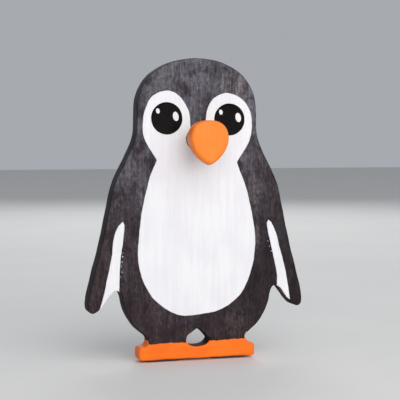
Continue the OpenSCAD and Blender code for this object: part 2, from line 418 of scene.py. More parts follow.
def lofted(name, outlines, radii, rings, place, pockets=()):
    """A closed solid with the same rings round each outline, capped at the first and last ring.

    place turns arrays of the two outline coordinates and the depth into points. pockets are blind
    round holes in the last cap, each (centre, radius, depth they reach).
    """
    directions = [inward(p) for p in outlines]
    points, worn, sawn, faces = [], [], [], []
    ring_size = sum(len(p) for p in outlines)
    for ring in rings:
        for p, d, r in zip(outlines, directions, radii):
            flat = p + d * (ring.inset * r + ring.extra)[:, None]
            points.append(place(flat[:, 0], flat[:, 1], ring.depth + ring.deeper * r))
        worn += [ring.worn] * ring_size
        sawn += [ring.sawn] * ring_size
    for k in range(len(rings) - 1):
        start = k * ring_size
        for p in outlines:
            faces += band(start, len(p), ring_size)
            start += len(p)
    for which in (0, len(rings) - 1):
        ring = rings[which]
        flats = [
            p + d * (ring.inset * r + ring.extra)[:, None] for p, d, r in zip(outlines, directions, radii)
        ]
        start = which * ring_size
        if which and pockets:
            turn = np.linspace(0, -2 * np.pi, ROUND_SIDES, endpoint=False)
            unit = np.column_stack([np.cos(turn), np.sin(turn)])
            circles = [np.asarray(centre) + radius * unit for centre, radius, _ in pockets]
            floors = [floor for _, _, floor in pockets]
            flats += circles
            for depths in ([ring.depth] * len(pockets), floors):
                for circle, depth in zip(circles, depths):
                    points.append(place(circle[:, 0], circle[:, 1], np.full(ROUND_SIDES, depth)))
            onward = ROUND_SIDES * len(pockets)
            first = len(rings) * ring_size
            for top in range(first, first + onward, ROUND_SIDES):
                faces += band(top, ROUND_SIDES, onward)
                faces.append(tuple(range(top + onward, top + onward + ROUND_SIDES)))
            worn += [0.0] * (2 * onward)
            sawn += [0.0] * (2 * onward)
        polygons = [[Vector((u, v, 0)) for u, v in flat] for flat in flats]
        faces += [tuple(start + i for i in triangle) for triangle in tessellate_polygon(polygons)]
    return solid(name, np.vstack(points), faces, {"worn": worn, "sawn": sawn})


def solid(name, points, faces, marks=None, sharp=38):
    """A mesh object with outward normals, smooth except along edges sharper than the angle."""
    mesh = bpy.data.meshes.new(name)
    mesh.from_pydata([tuple(p) for p in points], [], faces)
    for mark, values in (marks or {}).items():
        mesh.attributes.new(mark, "FLOAT", "POINT").data.foreach_set("value", np.asarray(values, np.float32))
    bm = bmesh.new()
    bm.from_mesh(mesh)
    bmesh.ops.recalc_face_normals(bm, faces=bm.faces)
    for face in bm.faces:
        face.smooth = True
    for edge in bm.edges:
        edge.smooth = edge.calc_face_angle(0) < math.radians(sharp)
    bm.to_mesh(mesh)
    bm.free()
    mesh.validate()
    return placed(name, mesh)


def placed(name, data):
    """A new object in the scene, at the origin."""
    piece = bpy.data.objects.new(name, data)
    bpy.context.scene.collection.objects.link(piece)
    return piece


def with_modifiers(piece):
    """A new mesh with the piece's modifiers applied."""
    bpy.context.view_layer.update()
    graph = bpy.context.evaluated_depsgraph_get()
    return bpy.data.meshes.new_from_object(piece.evaluated_get(graph), depsgraph=graph)


def across(u, v, depth):
    """Outline in X and Z, depth along Y."""
    return np.column_stack([u, depth, v])


def sideways(u, v, depth):
    """Outline in Y and Z, depth along X."""
    return np.column_stack([depth, u, v])


def upwards(u, v, depth):
    """Outline in X and Y, depth along Z."""
    return np.column_stack([u, v, depth])


def band(start, count, onward):
    """Faces that join a closed ring of points to the ring that starts the given count later."""
    turned = [(start + i, start + (i + 1) % count) for i in range(count)]
    return [(a, b, b + onward, a + onward) for a, b in turned]


def wall_faces(count, rows):
    """Faces that join each of several closed rings of points to the next."""
    return [face for start in range(0, (rows - 1) * count, count) for face in band(start, count, count)]


def upright_ring(centre, radius, y, turn):
    """Points round an axis along Y, at the given turns. centre is its X and Z."""
    x = centre[0] + radius * np.cos(turn)
    z = centre[1] + radius * np.sin(turn)
    return np.column_stack([x, np.broadcast_to(y, len(turn)), z])


def axis_of(node):
    """X and Z of the axis of a frame node that is round along Y, and its radius."""
    low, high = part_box(node)
    return ((low.x + high.x) / 2, (low.z + high.z) / 2), (high.x - low.x) / 2


def turned_rod(name, node, chamfer, flutes=0, groove=0.0, sides=96):
    """A rod along Y in a frame node's box, with chamfered ends and straight grooves."""
    low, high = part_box(node)
    centre, radius = axis_of(node)
    turn = np.linspace(0, 2 * np.pi, sides, endpoint=False)
    bite = groove * (0.5 + 0.5 * np.cos(flutes * turn)) ** 3 if flutes else np.zeros(sides)
    length = high.y - low.y
    steps = [(0, radius - chamfer, 0), (chamfer, radius, 0.4), (2.5 * chamfer, radius, 1)]
    section = steps + [(length * s, radius, 1) for s in (0.35, 0.65)]
    section += [(length - y, r, share) for y, r, share in reversed(steps)]
    points = [upright_ring(centre, r - bite * share, low.y + y, turn) for y, r, share in section]
    faces = wall_faces(sides, len(section))
    last = (len(section) - 1) * sides
    faces += [tuple(range(sides)), tuple(last + i for i in range(sides))]
    return solid(name, np.vstack(points), faces)


def fit(piece, material, slot, *nodes):
    """Gives a finished piece its material and its body, and hides the frame nodes it stands for. slot is not
    used.
    """
    if material is not None:
        piece.data.materials.clear()
        piece.data.materials.append(material)
    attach(piece, "root")
    if nodes:
        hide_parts(*nodes)
    return piece


# ---------------------------------------------------------------------------------------------
# Shader and geometry node helpers


def add(tree, kind, inputs=None, **settings):
    """Adds a node, sets its properties, and fills or links its inputs."""
    node = tree.nodes.new(kind)
    for key, value in settings.items():
        setattr(node, key, value)
    for key, value in (inputs or {}).items():
        if isinstance(value, bpy.types.NodeSocket):
            tree.links.new(value, node.inputs[key])
        else:
            node.inputs[key].default_value = value
    return node


def stretched(tree, scale, shift=(0, 0, 0)):
    """Object coordinates, moved and then scaled, in waves per metre along each axis."""
    place = add(tree, "ShaderNodeTexCoord")
    moved = add(tree, "ShaderNodeVectorMath", {0: place.outputs["Object"], 1: shift}, operation="SUBTRACT")
    return add(tree, "ShaderNodeVectorMath", {0: moved.outputs[0], 1: scale}, operation="MULTIPLY").outputs[0]


def noise(tree, scale, detail=4.0, roughness=0.55, distortion=0.0, shift=(0, 0, 0)):
    """Noise from 0 to 1 over stretched object coordinates."""
    node = add(
        tree, "ShaderNodeTexNoise",
        {"Vector": stretched(tree, scale, shift), "Scale": 1.0, "Detail": detail,
         "Roughness": roughness, "Distortion": distortion},
    )
    return node.outputs["Fac"]


def remap(tree, value, low, high, to_low=0.0, to_high=1.0):
    """The value's span from low to high, stretched to another span and held at its ends."""
    node = add(
        tree, "ShaderNodeMapRange",
        {"Value": value, "From Min": low, "From Max": high, "To Min": to_low, "To Max": to_high},
        interpolation_type="SMOOTHSTEP",
    )
    return node.outputs["Result"]


def maths(tree, operation, a, b, clamp=False):
    return add(tree, "ShaderNodeMath", {0: a, 1: b}, operation=operation, use_clamp=clamp).outputs[0]


def times(tree, a, b, clamp=False):
    return maths(tree, "MULTIPLY", a, b, clamp)


def plus(tree, a, b, clamp=False):
    return maths(tree, "ADD", a, b, clamp)


def mark_on_mesh(tree, name):
    """A mark that the mesh carries, such as worn or sawn."""
    return add(tree, "ShaderNodeAttribute", attribute_name=name, attribute_type="GEOMETRY").outputs["Fac"]


def tinted(colour, *shares):
    """A colour scaled by one share, or by one for each channel."""
    if len(shares) == 1:
        shares = shares * 3
    return tuple(c * share for c, share in zip(colour, shares))


def blend(tree, share, a, b, mode="MIX"):
    """Two colours mixed by share."""
    node = add(tree, "ShaderNodeMix", data_type="RGBA", blend_type=mode, clamp_factor=True)
    for socket, value in ((node.inputs[0], share), (node.inputs[6], a), (node.inputs[7], b)):
        if isinstance(value, bpy.types.NodeSocket):
            tree.links.new(value, socket)
        elif isinstance(value, (int, float)):
            socket.default_value = value
        else:
            socket.default_value = (*tuple(value)[:3], 1)
    return node.outputs[2]


def grey(tree, value):
    """A number as a grey colour."""
    return add(tree, "ShaderNodeCombineColor", {"Red": value, "Green": value, "Blue": value}).outputs[0]


def surface(name, build, shine, **principled):
    """A Principled material. build returns its colour, roughness, bump height and bump depth."""
    material = bpy.data.materials.new(name)
    material.use_nodes = True
    tree = material.node_tree
    tree.nodes.clear()
    colour, roughness, height, relief = build(tree)
    inputs = {"Base Color": colour, "Roughness": roughness, "Specular IOR Level": shine, **principled}
    shader = add(tree, "ShaderNodeBsdfPrincipled", inputs)
    bump = add(tree, "ShaderNodeBump", {"Strength": 1.0, "Distance": relief, "Height": height})
    tree.links.new(bump.outputs["Normal"], shader.inputs["Normal"])
    add(tree, "ShaderNodeOutputMaterial", {"Surface": shader.outputs[0]})
    return material


def near(tree, centre, size):
    """1 at a point and 0 beyond an ellipsoid of the given half sizes round it."""
    scaled = stretched(tree, tuple(1 / s for s in size), centre)
    far = add(tree, "ShaderNodeVectorMath", {0: scaled}, operation="LENGTH").outputs["Value"]
    return remap(tree, far, 0.15, 1.0, 1.0, 0.0)


# ---------------------------------------------------------------------------------------------
# Finishes


def stained_wood(wood):
    """Thin black stain over upright grain, greyer on the head as painted sheen, rubbed along the edges, with
    some painted shade and shadow.
    """

    def build(tree):
        streaks = noise(tree, (900, 900, 60), detail=6, roughness=0.62, distortion=0.5)
        fibres = noise(tree, (2600, 2600, 120), detail=3, shift=(0.01, 0, 0))
        pores = noise(tree, (3300, 3300, 330), detail=2, shift=(0, 0.02, 0))
        mottle = noise(tree, (640, 640, 420), detail=5, roughness=0.65, shift=(0.03, 0, 0.01))
        blotches = noise(tree, (120, 120, 75), detail=5, roughness=0.62, distortion=0.6)
        clouds = noise(tree, (38, 60, 22), detail=2, shift=(0.013, 0, 0.04))
        place = add(tree, "ShaderNodeSeparateXYZ", {0: stretched(tree, (1, 1, 1))})
        # Painted sheen: the colour goes from the lower stain to the lighter head colour with height, shifted
        # a little across and at random.
        painted_sheen_with_height = remap(tree, place.outputs["Z"], 0.30 * FIGURE_TOP, 1.0 * FIGURE_TOP)
        aside = remap(tree, place.outputs["X"], -0.05, 0.05, 0.12, -0.06)
        drift = plus(tree, aside, remap(tree, clouds, 0.3, 0.7, -0.2, 0.2))
        share = plus(tree, painted_sheen_with_height, drift, clamp=True)
        colour = blend(tree, share, wood.stain_low, wood.stain_head_and_sheen)
        colour = blend(tree, remap(tree, blotches, 0.48, 0.66, 0.0, 0.7), colour, wood.plum_stain_and_shadow)
        light = remap(tree, streaks, 0.30, 0.70, 0.74, 1.28)
        light = times(tree, light, remap(tree, mottle, 0.32, 0.68, 0.6, 1.45))
        light = times(tree, light, remap(tree, fibres, 0.3, 0.7, 0.8, 1.22))
        light = times(tree, light, remap(tree, blotches, 0.36, 0.62, 1.14, 0.76))
        # Painted light: on the right, the head lighter as sheen and the body below it darker as shade.
        painted_sheen_and_shade = remap(tree, place.outputs["X"], 0.005, 0.055, 0.0, 0.42)
        sheen_above_shade_below = remap(tree, place.outputs["Z"], 0.055, 0.135, 1.0, -1.0)
        painted_sheen_and_shade = times(tree, painted_sheen_and_shade, sheen_above_shade_below)
        light = times(tree, light, maths(tree, "SUBTRACT", 1.0, painted_sheen_and_shade))
        # Rubbed and soaked places, among them a painted sheen and painted shadow
        uneven = (
            (RUBBED_AND_SHEEN_PLACES, remap(tree, mottle, 0.34, 0.6, 0.2, 1.0), wood.rubbed_stain_and_sheen),
            (SOAKED_AND_SHADOW_PLACES, remap(tree, blotches, 0.3, 0.6, 0.5, 1.0), wood.plum_stain_and_shadow),
        )
        for places, broken, stain in uneven:
            for centre, size, strength in places:
                spot = times(tree, near(tree, centre, size), broken)
                colour = blend(tree, times(tree, spot, strength), colour, stain)
        colour = blend(tree, 1.0, colour, grey(tree, light), "MULTIPLY")
        colour = blend(tree, remap(tree, pores, 0.60, 0.72, 0.0, 0.6), colour, wood.pore_black)
        worn = mark_on_mesh(tree, "worn")
        sawn = mark_on_mesh(tree, "sawn")
        colour = blend(tree, remap(tree, sawn, 0.1, 0.9, 0.0, 0.62), colour, wood.pore_black)
        chips = noise(tree, (420, 420, 260), detail=5, roughness=0.7, shift=(0, 0, 0.05))
        few = times(tree, remap(tree, chips, 0.62, 0.70), 0.35)
        # Worn wood at the notch, made strong as a painted reflection
        notch_wear_and_reflection = times(tree, near(tree, *NOTCH_WEAR_AND_REFLECTION), remap(tree, chips, 0.40, 0.50))
        notch_wear_and_reflection = times(tree, notch_wear_and_reflection, maths(tree, "MAXIMUM", worn, sawn))
        bare = plus(tree, times(tree, worn, few), notch_wear_and_reflection, clamp=True)
        colour = blend(tree, bare, colour, wood.worn_wood)
        for centre, size in BARE_ARRISES:
            line = times(tree, near(tree, centre, size), times(tree, worn, 1.6), clamp=True)
            colour = blend(tree, line, colour, wood.bare_wood)
        relief = plus(tree, times(tree, streaks, 0.5), times(tree, fibres, 0.35))
        relief = maths(tree, "SUBTRACT", relief, remap(tree, pores, 0.6, 0.75, 0.0, 0.4))
        return colour, remap(tree, mottle, 0.3, 0.7, 0.6, 0.8), relief, 0.0002

    return surface("black_stain_on_wood", build, shine=0.16)


def bare_wood(name, wood, along):
    """Pale close-grained wood with flecks along one axis."""
    grain = [1500, 1500, 1500]
    grain[along] = 55
    fleck = [2600, 2600, 2600]
    fleck[along] = 420

    def build(tree):
        lines = noise(tree, tuple(grain), detail=5, roughness=0.6)
        flecks = noise(tree, tuple(fleck), detail=2, shift=(0.02, 0.01, 0))
        dark = tinted(wood.bare_wood, 0.55)
        colour = blend(tree, remap(tree, lines, 0.3, 0.7), dark, wood.bare_wood)
        colour = blend(tree, remap(tree, flecks, 0.60, 0.72, 0, 0.6), colour, (0.22, 0.11, 0.05))
        return colour, remap(tree, lines, 0.3, 0.7, 0.65, 0.5), lines, 0.00012

    return surface(name, build, shine=0.35)


def brushed_paint(name, colour, tint, stroke, shine, rough=0.42, relief=0.00007, seed_shift=0.0):
    """Paint with fine brush marks. stroke gives waves per metre along each axis."""

    def build(tree):
        shift = (seed_shift, 0, seed_shift)
        marks = noise(tree, stroke, detail=4, roughness=0.6, shift=shift)
        grain = noise(tree, (900, 900, 26), detail=4, roughness=0.6, shift=shift)
        patches = noise(tree, (70, 70, 45), detail=3, shift=shift)
        thin = remap(tree, times(tree, marks, patches), 0.16, 0.36)
        body = blend(tree, thin, tint, colour)
        lines = remap(tree, grain, 0.60, 0.74, 0.0, 0.35)
        body = blend(tree, lines, body, tint)
        height = plus(tree, times(tree, marks, 0.6), times(tree, grain, 0.4))
        return body, remap(tree, marks, 0.3, 0.7, rough - 0.06, rough + 0.08), height, relief

    return surface(name, build, shine)


def white_paint(name, paint, seed_shift=0.0):
    tint = tinted(paint.white, 0.94, 0.93, 0.955)
    return brushed_paint(name, paint.white, tint, (560, 560, 30), 0.25, rough=0.5, seed_shift=seed_shift)


def gloss_black(name, paint):
    """Glossy black with faint brush drag, for the pupils and the touch-up dabs."""

    def build(tree):
        drag = noise(tree, (500, 500, 900), detail=3)
        smears = noise(tree, (190, 190, 190), detail=3, shift=(0.02, 0, 0))
        lifted = tinted(paint.eye_black, 1.8)
        colour = blend(tree, remap(tree, smears, 0.45, 0.7), paint.eye_black, lifted)
        return colour, remap(tree, drag, 0.3, 0.7, 0.16, 0.30), drag, 0.00004

    return surface(name, build, shine=0.05)


def pressed_felt(small):
    """Dark pressed felt with a soft, uneven nap."""

    def build(tree):
        nap = noise(tree, (2400, 2400, 2400), detail=4, roughness=0.7)
        tufts = noise(tree, (620, 620, 620), detail=3)
        pale = tuple(min(1, c * 2.6 + 0.01) for c in small.felt)
        colour = blend(tree, remap(tree, nap, 0.35, 0.7), small.felt, pale)
        colour = blend(tree, remap(tree, tufts, 0.55, 0.7, 0, 0.5), colour, tinted(small.felt, 0.4))
        return colour, remap(tree, nap, 0.3, 0.7, 0.85, 0.98), nap, 0.0003

    sheen = {"Sheen Weight": 0.4, "Sheen Roughness": 0.5}
    return surface("pressed_felt", build, shine=0.15, **sheen)


def shared_stain(wood):
    """The black stain, made once and shared by the board and the prop."""
    return bpy.data.materials.get("black_stain_on_wood") or stained_wood(wood)


# ---------------------------------------------------------------------------------------------
# Paint films


def edge_drop(x, z, radius):
    """How far the board's front face falls back near its sanded edge."""
    outline = np.vstack(BOARD_OUTLINES)
    here = np.column_stack([x, z])
    distance = np.full(len(here), np.inf)
    for start in range(0, len(outline), 200):
        gap = np.linalg.norm(here[:, None, :] - outline[None, start:start + 200, :], axis=2)
        distance = np.minimum(distance, gap.min(axis=1))
    short = np.clip(radius - distance, 0, radius)
    return radius - np.sqrt(radius ** 2 - short ** 2)


def paint_film(name, node, paint, wood, seed, softness=0.22 * MM, wander_share=1.0, spacing=0.5 * MM):
    """A film in a frame node's place, with a wandering edge and a low ridge along it."""
    rng = random.Random(seed)
    low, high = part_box(node)
    thickness = high.y - low.y
    outlines = []
    for points in islands(node):
        even = resampled(points, spacing)
        shift = wander(even, paint.edge_wander * wander_share, BRUSH_WAVES, rng)
        outlines.append(even + inward(even) * shift[:, None])
    radii = [np.minimum(softness, room_inside(p) / 5) for p in outlines]
    ridge = 1 + paint.edge_bead
    rings = [
        Ring(0, high.y + FILM_SINK),
        Ring(0, high.y - 0.35 * thickness),
        Ring(0.35, high.y - 0.9 * thickness),
        Ring(1.0, high.y - ridge * thickness),
        Ring(2.0, high.y - ridge * thickness),
        Ring(3.4, high.y - 1.02 * thickness),
        Ring(3.8, high.y - thickness),
    ]

    def draped(u, v, depth):
        return across(u, v, depth + edge_drop(u, v, wood.edge_radius))

    films = [lofted(name, [outline], [r], rings, draped) for outline, r in zip(outlines, radii)]
    return joined(name, films)


def islands(node):
    """Outlines of a film node, all of them as separate patches."""
    return [wound(p, counterclockwise=True) for p in face_outlines(node, FRONT, (0, 2))]


def joined(name, pieces):
    """Several objects as one."""
    first = pieces[0]
    if len(pieces) > 1:
        with bpy.context.temp_override(
            active_object=first, object=first, selected_objects=pieces, selected_editable_objects=pieces
        ):
            bpy.ops.object.join()
    first.name = name
    first.data.name = name
    return first


# ---------------------------------------------------------------------------------------------
# Geometry node trees


def node_group(name, sockets):
    """A geometry node group with a mesh input, named inputs and a mesh output."""
    tree = bpy.data.node_groups.new(name, "GeometryNodeTree")
    tree.interface.new_socket("Mesh", in_out="INPUT", socket_type="NodeSocketGeometry")
    for label, kind, default in sockets:
        socket = tree.interface.new_socket(label, in_out="INPUT", socket_type=kind)
        socket.default_value = default
    tree.interface.new_socket("Mesh", in_out="OUTPUT", socket_type="NodeSocketGeometry")
    return tree, add(tree, "NodeGroupInput"), add(tree, "NodeGroupOutput")


def grown(carrier, name, tree, values):
    """Runs a geometry node group on a mesh object and gives the result as a plain object."""
    modifier = carrier.modifiers.new("grow", "NODES")
    modifier.node_group = tree
    for item in tree.interface.items_tree:
        if item.item_type == "SOCKET" and item.in_out == "INPUT" and item.name in values:
            modifier[item.identifier] = values[item.name]
    mesh = with_modifiers(carrier)
    carrier.modifiers.remove(modifier)
    bpy.data.objects.remove(carrier)
    mesh.name = name
    return placed(name, mesh)


def random_vector(tree, low, high, seed):
    """A random vector at each point."""
    inputs = {0: low, 1: high, "Seed": seed}
    return add(tree, "FunctionNodeRandomValue", inputs, data_type="FLOAT_VECTOR").outputs[0]


def lengthened(tree, vector, factor):
    """A vector times a number."""
    inputs = {0: vector, "Scale": factor}
    return add(tree, "ShaderNodeVectorMath", inputs, operation="SCALE").outputs[0]


def sent_out(tree, sink, geometry, material):
    """Ends the tree: gives the geometry its material and passes it to the output."""
    coated = add(tree, "GeometryNodeSetMaterial", {0: geometry, "Material": material})
    tree.links.new(coated.outputs[0], sink.inputs[0])
    return tree


def dab_tree(name, material):
    """Rounded dabs of paint at even steps along an edge path."""
    tree, source, sink = node_group(
        name,
        (("Dab size", "NodeSocketFloat", 0.9 * MM), ("Spacing", "NodeSocketFloat", 0.95 * MM),
         ("Scatter", "NodeSocketFloat", 0.16 * MM), ("Seed", "NodeSocketInt", 3)),
    )
    path = add(tree, "GeometryNodeMeshToCurve", {"Mesh": source.outputs["Mesh"]})
    steps = add(
        tree, "GeometryNodeResampleCurve",
        {"Curve": path.outputs[0], "Length": source.outputs["Spacing"]}, mode="LENGTH",
    )
    points = add(tree, "GeometryNodeCurveToPoints", {"Curve": steps.outputs[0]}, mode="EVALUATED")
    seed = source.outputs["Seed"]
    off = random_vector(tree, (-1, 0, -1), (1, 0, 1), seed)
    shift = lengthened(tree, off, source.outputs["Scatter"])
    moved = add(tree, "GeometryNodeSetPosition", {"Geometry": points.outputs[0], "Offset": shift})
    ball = add(tree, "GeometryNodeMeshIcoSphere", {"Radius": 0.5, "Subdivisions": 2})
    size = random_vector(tree, (0.5, 0.5, 0.6), (0.95, 0.85, 1.25), seed)
    scale = lengthened(tree, size, source.outputs["Dab size"])
    dabs = add(
        tree, "GeometryNodeInstanceOnPoints",
        {"Points": moved.outputs[0], "Instance": ball.outputs["Mesh"], "Scale": scale},
    )
    real = add(tree, "GeometryNodeRealizeInstances", {0: dabs.outputs[0]})
    smooth = add(tree, "GeometryNodeSetShadeSmooth", {0: real.outputs[0]})
    return sent_out(tree, sink, smooth.outputs[0], material)


def felt_tree(material):
    """Short loose fibres all over a pad."""
    tree, source, sink = node_group(
        "felt_fibres",
        (("Density", "NodeSocketFloat", 1.6e6), ("Fibre length", "NodeSocketFloat", 0.55 * MM),
         ("Seed", "NodeSocketInt", 1)),
    )
    seed = source.outputs["Seed"]
    points = add(
        tree, "GeometryNodeDistributePointsOnFaces",
        {"Mesh": source.outputs["Mesh"], "Density": source.outputs["Density"], "Seed": seed},
    )
    fibre = add(
        tree, "GeometryNodeMeshCone",
        {"Vertices": 3, "Radius Top": 0.008, "Radius Bottom": 0.03, "Depth": 1.0}, fill_type="NGON",
    )
    tilt = random_vector(tree, (-1.25, -1.25, 0), (1.25, 1.25, 6.28), seed)
    size = add(tree, "FunctionNodeRandomValue", {2: 0.4, 3: 1.0, "Seed": seed}, data_type="FLOAT")
    length = times(tree, size.outputs[1], source.outputs["Fibre length"])
    fibres = add(
        tree, "GeometryNodeInstanceOnPoints",
        {"Points": points.outputs["Points"], "Instance": fibre.outputs["Mesh"],
         "Rotation": points.outputs["Rotation"], "Scale": length},
    )
    turned = add(tree, "GeometryNodeRotateInstances", {"Instances": fibres.outputs[0], "Rotation": tilt})
    real = add(tree, "GeometryNodeRealizeInstances", {0: turned.outputs[0]})
    both = add(tree, "GeometryNodeJoinGeometry")
    tree.links.new(source.outputs["Mesh"], both.inputs[0])
    tree.links.new(real.outputs[0], both.inputs[0])
    return sent_out(tree, sink, both.outputs[0], material)


# ---------------------------------------------------------------------------------------------
# Operators, one for each piece or group of like pieces


BOARD_OUTLINES = []


class STAND_OT_board(bpy.types.Operator):
    """Build the sawn and stained board with its arch, peg bore and dowel holes"""

    bl_idname = "stand.board"
    bl_label = "Board"

    def execute(self, context):
        wood = context.scene.display_stand.wood
        rng = random.Random(11)
        found = face_outlines("body_board", FRONT, (0, 2))
        outlines, radii = [], []
        for i, points in enumerate(found):
            centre = points.mean(axis=0)
            is_bore = i > 0 and np.hypot(centre[0], centre[1] - PEG_Z) < 2 * MM
            even = resampled(points, OUTLINE_STEP)
            if is_bore:
                radii.append(np.full(len(even), 0.1 * MM))
            else:
                even = even + inward(even) * wander(even, wood.edge_unevenness, SAW_WAVES, rng)[:, None]
                sanding = 1 + wander(even, 0.16, SAW_WAVES, rng)
                radii.append(wood.edge_radius * np.clip(sanding, 0.6, 1.35))
                BOARD_OUTLINES.append(even)
            outlines.append(even)
        pockets = []
        for node in ("lower_dowel", "upper_dowel"):
            centre, radius = axis_of(node)
            pockets.append((centre, radius + GLUE_GAP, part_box(node)[0].y))
        board = lofted("sawn_board", outlines, radii, slab_rings(FRONT_Y, BACK_Y), across, pockets)
        fit(board, shared_stain(wood), "black_stain", "body_board")
        return {"FINISHED"}


class STAND_OT_prop(bpy.types.Operator):
    """Build the rear prop that keeps the board upright"""

    bl_idname = "stand.prop"
    bl_label = "Rear prop"

    def execute(self, context):
        wood = context.scene.display_stand.wood
        rng = random.Random(12)
        low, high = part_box("tail_prop")
        outlines, radii = [], []
        for points in face_outlines("tail_prop", LEFT, (1, 2)):
            even = resampled(points, OUTLINE_STEP)
            glued = even[:, 0] < low.y + 0.3 * MM
            sanding = np.where(glued, 0.1, 1 + wander(even, 0.16, SAW_WAVES, rng))
            radii.append(wood.edge_radius * np.clip(sanding, 0.1, 1.35))
            outlines.append(even)
        prop = lofted("tail_shaped_prop", outlines, radii, slab_rings(low.x, high.x), sideways)
        bore_dowel_holes(prop)
        fit(prop, shared_stain(wood), "black_stain", "tail_prop")
        return {"FINISHED"}


def bore_dowel_holes(prop):
    """Cuts the prop's two blind dowel holes."""
    for node in ("lower_dowel", "upper_dowel"):
        centre, radius = axis_of(node)
        turn = np.linspace(0, 2 * np.pi, ROUND_SIDES, endpoint=False)
        reach = (BACK_Y - 2 * MM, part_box(node)[1].y)
        ends = [upright_ring(centre, radius + GLUE_GAP, y, turn) for y in reach]
        faces = wall_faces(ROUND_SIDES, len(ends))
        faces += [tuple(range(ROUND_SIDES)), tuple(range(ROUND_SIDES, 2 * ROUND_SIDES))]
        cutter = solid("cutter", np.vstack(ends), faces)
        cut = prop.modifiers.new("bore", "BOOLEAN")
        cut.object = cutter
        cut.solver = "EXACT"
        bored = with_modifiers(prop)
        prop.modifiers.remove(cut)
        prop.data = bored
        bpy.data.objects.remove(cutter)


class STAND_OT_beak(bpy.types.Operator):
    """Build the rounded beak block with its blind bore"""

    bl_idname = "stand.beak"
    bl_label = "Beak"

    def execute(self, context):
        settings = context.scene.display_stand
        beak, paint = settings.beak, settings.paint
        low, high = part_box("beak")
        centre = np.array([0, PEG_Z])
        bearing, reach = self.outline_from(centre, low, high)
        to_tip = np.clip(-np.sin(bearing), 0, 1) ** 3
        front_radius = beak.edge_radius * (1 + 0.25 * to_tip)
        back_radius = beak.back_radius * (1 + beak.tip_sanding * to_tip)
        angles = [math.pi / 2 * k / 10 for k in range(11)]
        flat = reach - front_radius
        rings = [(flat * share, low.y + beak.crown * share ** 2.4) for share in (0.2, 0.4, 0.6, 0.78, 0.92)]
        rings += [
            (reach - front_radius * (1 - math.sin(a)),
             low.y + beak.crown + (front_radius - beak.crown) * (1 - math.cos(a))) for a in angles
        ]
        rings += [
            (reach - back_radius * (1 - math.sin(a)), high.y - back_radius * (1 - math.cos(a)))
            for a in reversed(angles)
        ]
        bore = np.full(len(reach), axis_of("nose_peg")[1] + GLUE_GAP)
        rings += [(bore + 0.25 * MM, high.y), (bore, high.y - 0.25 * MM), (bore, PEG_LOW.y)]
        count = len(bearing)
        points = np.vstack([upright_ring(centre, r, y, bearing) for r, y in rings])
        faces = wall_faces(count, len(rings))
        middle = len(points)
        points = np.vstack([points, *([[centre[0], y, centre[1]]] for y in (low.y, PEG_LOW.y))])
        last = (len(rings) - 1) * count
        faces += [(middle, i, (i + 1) % count) for i in range(count)]
        faces += [(middle + 1, last + i, last + (i + 1) % count) for i in range(count)]
        block = solid("sanded_beak", points, faces, sharp=50)
        tint = tinted(paint.beak_orange, 0.95, 0.87, 0.75)
        material = brushed_paint(
            "beak_orange_paint", paint.beak_orange, tint, (900, 900, 60), shine=0.2, rough=0.42,
            relief=0.00006, seed_shift=0.07,
        )
        fit(block, material, "beak_orange", "beak")
        return {"FINISHED"}

    def outline_from(self, centre, low, high):
        """Bearings round the peg and the beak's reach along each, from the frame solid's side wall."""
        rounded = 1.2 * MM
        corners = [v.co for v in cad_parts["beak"].data.vertices]
        wall = [p for p in corners if low.y + rounded < p.y < high.y - rounded]
        flat = np.array([[p.x, p.z] for p in wall]) - centre
        flat = flat[np.linalg.norm(flat, axis=1) > 7.5 * MM]
        found = np.arctan2(flat[:, 1], flat[:, 0])
        order = np.argsort(found)
        bearing = np.linspace(-math.pi, math.pi, 180, endpoint=False)
        reach = np.interp(bearing, found[order], np.linalg.norm(flat, axis=1)[order], period=2 * math.pi)
        for _ in range(3):
            reach = (np.roll(reach, 1) + 2 * reach + np.roll(reach, -1)) / 4
        return bearing, reach


class STAND_OT_rods(bpy.types.Operator):
    """Build the nose peg and the prop's two fluted dowels"""

    bl_idname = "stand.rods"
    bl_label = "Peg and dowels"

    def execute(self, context):
        settings = context.scene.display_stand
        wood, small = settings.wood, settings.small
        material = bare_wood("close_grained_rod", wood, along=1)
        fit(turned_rod("spectacle_peg", "nose_peg", 0.4 * MM), material, "bare_wood", "nose_peg")
        for node in ("upper_dowel", "lower_dowel"):
            rod = turned_rod(
                "fluted_" + node, node, 0.5 * MM, small.flutes, groove=0.35 * MM, sides=6 * small.flutes
            )
            fit(rod, material, "bare_wood", node)
        return {"FINISHED"}


class STAND_OT_white_coats(bpy.types.Operator):
    """Paint the face and belly and the stripes on the flippers"""

    bl_idname = "stand.white_coats"
    bl_label = "White coats"

    def execute(self, context):
        settings = context.scene.display_stand
        paint, wood = settings.paint, settings.wood
        for k, node in enumerate(("face_and_belly_coat", "wing_stripe_left", "wing_stripe_right")):
            film = paint_film("painted_" + node, node, paint, wood, seed=21 + k)
            fit(film, white_paint("white_on_" + node, paint, 0.13 * k), "white_paint", node)
        return {"FINISHED"}


class STAND_OT_eyes(bpy.types.Operator):
    """Paint the pupils and their highlights"""

    bl_idname = "stand.eyes"
    bl_label = "Eyes"

    def execute(self, context):
        settings = context.scene.display_stand
        paint, wood = settings.paint, settings.wood
        black = gloss_black("glossy_pupil_black", paint)
        white = white_paint("white_in_the_eyes", paint, 0.31)
        for k, side in enumerate(("left", "right")):
            pupil = paint_film(
                "painted_pupil_" + side, "pupil_" + side, paint, wood, seed=31 + k, wander_share=0.45
            )
            fit(pupil, black, "black_paint", "pupil_" + side)
            lights = paint_film(
                "painted_highlights_" + side, "highlights_" + side, paint, wood, seed=41 + k,
                softness=0.1 * MM, wander_share=0.35, spacing=0.3 * MM,
            )
            fit(lights, white, "white_paint", "highlights_" + side)
        return {"FINISHED"}


